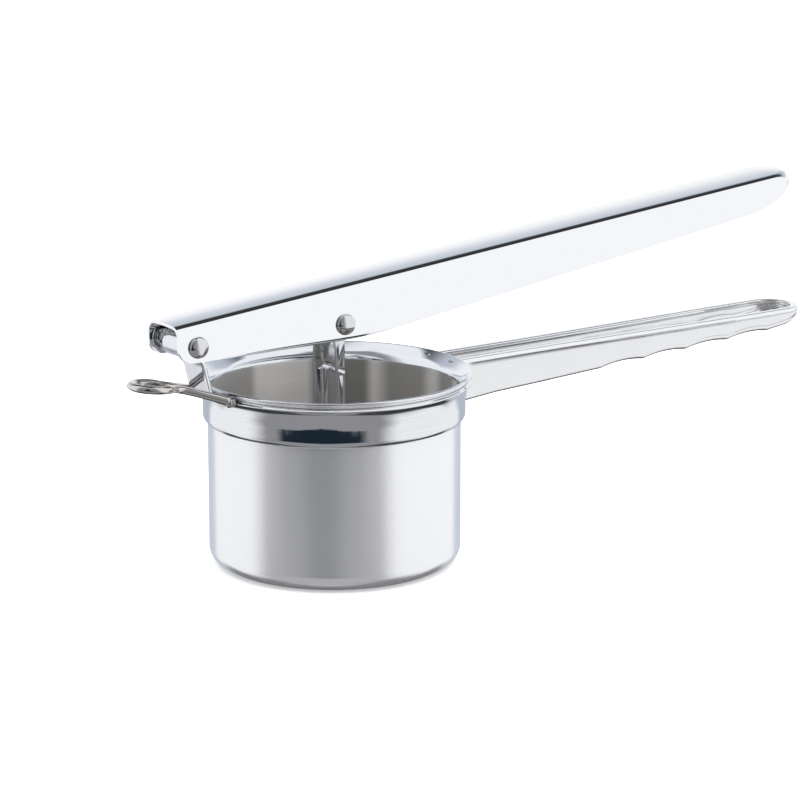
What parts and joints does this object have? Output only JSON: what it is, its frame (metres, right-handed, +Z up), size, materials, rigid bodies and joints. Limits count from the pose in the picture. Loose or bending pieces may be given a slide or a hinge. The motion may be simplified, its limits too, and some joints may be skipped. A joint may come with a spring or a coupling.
{
  "type": "potato ricer",
  "caption": "Stainless steel potato ricer: perforated pressing cup on a collar with loop handle and pot hook, and a hinged channel lever that drives a disc plunger.",
  "frame": {"origin": "centre of the underside of the pressing cup, on the surface it stands on", "axes": "+X along both handles, away from the hinge; +Y across the cup; +Z up, along the plunger"},
  "size_m": [0.2733, 0.0898, 0.1112],
  "materials": {
    "cup_steel": "satin outside, brushed bore, polished lip",
    "collar_steel": "mirror polished stainless steel",
    "handle_steel": "satin brushed stainless steel",
    "weld_steel": "ground and polished weld bead",
    "bracket_steel": "polished stainless strap",
    "hook_wire": "polished stainless wire",
    "lever_steel": "mirror polished stainless channel",
    "rivet_steel": "polished stainless rivets, bush and washers",
    "plunger_steel": "polished stainless stem and disc"
  },
  "bodies": {
    "cup": {"pressing_cup": "cup_steel", "collar_ring": "collar_steel", "lower_handle": "handle_steel", "handle_welds": "weld_steel", "hinge_bracket": "bracket_steel", "bracket_weld": "weld_steel", "pot_hook": "hook_wire", "hook_welds": "weld_steel"},
    "lever": {"upper_lever": "lever_steel", "hinge_pin": "rivet_steel", "hinge_pin_cap": "rivet_steel", "hinge_bush": "rivet_steel", "plunger_pin": "rivet_steel", "plunger_pin_cap": "rivet_steel", "plunger_washers": "rivet_steel"},
    "plunger": {"plunger_stem": "plunger_steel", "plunger_disc": "plunger_steel", "disc_rivets": "rivet_steel"}
  },
  "joints": [
    {"name": "lever_hinge", "type": "hinge", "parent": "cup", "child": "lever", "pos_m": [-0.0567, 0, 0.0795], "axis": [0, -1, 0], "range_deg": [0, 45]},
    {"name": "plunger_pivot", "type": "hinge", "parent": "lever", "child": "plunger", "pos_m": [-0.002, 0, 0.08], "axis": [0, -1, 0], "range_deg": [-33, 0]}
  ],
  "couplings": [
    {"joint": "plunger_pivot", "follows": "lever_hinge", "ratio": -0.725}
  ]
}
